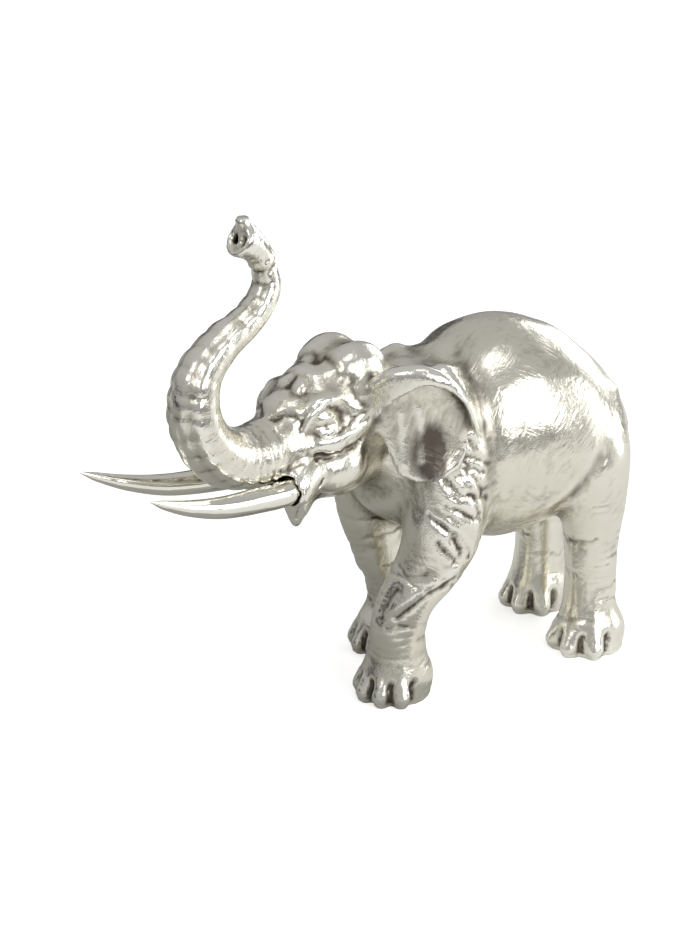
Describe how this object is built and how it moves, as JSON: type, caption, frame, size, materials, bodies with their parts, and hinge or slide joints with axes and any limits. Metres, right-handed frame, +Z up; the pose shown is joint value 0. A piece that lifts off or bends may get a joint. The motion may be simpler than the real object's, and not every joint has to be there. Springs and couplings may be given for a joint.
{
  "type": "elephant statue",
  "caption": "Cast silver elephant statue, striding with its trunk raised in an S, ears spread and long polished tusks let into the lips.",
  "frame": {"origin": "middle of the statue's overall box in plan, on the surface it stands on", "axes": "-X the way the elephant walks, -Y its left side, +Z up"},
  "size_m": [0.2618, 0.098, 0.2146],
  "materials": {
    "cast_silver": "cast silver, chased all over with short strokes, dark in the hollows and bright on the edges",
    "polished_silver": "smooth silver, polished like a mirror"
  },
  "bodies": {
    "root": {"elephant": "cast_silver", "left_tusk": "polished_silver", "right_tusk": "polished_silver"}
  },
  "joints": []
}
